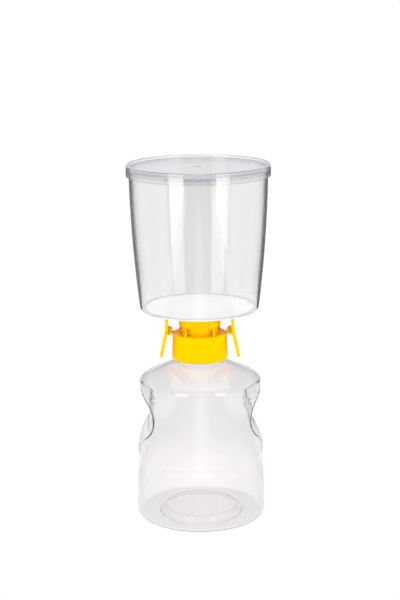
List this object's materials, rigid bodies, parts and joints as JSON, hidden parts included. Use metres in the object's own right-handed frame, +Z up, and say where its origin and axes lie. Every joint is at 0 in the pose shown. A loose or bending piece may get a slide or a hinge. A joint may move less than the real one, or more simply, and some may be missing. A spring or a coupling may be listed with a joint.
{
  "type": "vacuum filtration unit",
  "caption": "Bottle-top vacuum filter: lidded clear funnel over a membrane, yellow screw collar with squeeze levers and a rear hose nozzle, clear bottle with side grips.",
  "frame": {"origin": "centre of the bottle's foot, on the surface it stands on", "axes": "+Z up the bottle's axis; the hose nozzle points along +Y; the levers lie at +X and -X"},
  "size_m": [0.1242, 0.1242, 0.3138],
  "materials": {
    "clear_plastic": "clear polished moulded polystyrene",
    "yellow_plastic": "warm yellow moulded plastic, soft gloss",
    "white_plastic": "white moulded plastic",
    "membrane_white": "smooth white filter membrane",
    "seal_rubber": "pale soft seal rubber",
    "cotton_wool": "packed cotton wool"
  },
  "bodies": {
    "bottle": {"bottle": "clear_plastic"},
    "funnel_unit": {"funnel": "clear_plastic", "lid": "clear_plastic", "membrane": "membrane_white", "drain_plate": "white_plastic", "spigot_o_ring": "seal_rubber"},
    "collar": {"screw_collar": "yellow_plastic", "neck_gasket": "seal_rubber", "nozzle_wool_plug": "cotton_wool"},
    "lever_left": {"release_lever_left": "yellow_plastic"},
    "lever_right": {"release_lever_right": "yellow_plastic"}
  },
  "joints": [
    {"name": "funnel_lift", "type": "slide", "parent": "bottle", "child": "funnel_unit", "axis": [0, 0, 1], "range_m": [0, 0.005]},
    {"name": "collar_turn", "type": "hinge", "parent": "funnel_unit", "child": "collar", "pos_m": [0, 0, 0.155], "axis": [0, 0, 1], "range_deg": [0, 450]},
    {"name": "left_lever_squeeze", "type": "hinge", "parent": "collar", "child": "lever_left", "pos_m": [-0.0265, 0, 0.16684], "axis": [0, -1, 0], "range_deg": [0, 8], "stiffness_Nm_per_rad": 0.3},
    {"name": "right_lever_squeeze", "type": "hinge", "parent": "collar", "child": "lever_right", "pos_m": [0.0265, 0, 0.16684], "axis": [0, 1, 0], "range_deg": [0, 8], "stiffness_Nm_per_rad": 0.3}
  ],
  "couplings": [
    {"joint": "funnel_lift", "follows": "collar_turn", "m_per_rad": 0.00063662}
  ]
}
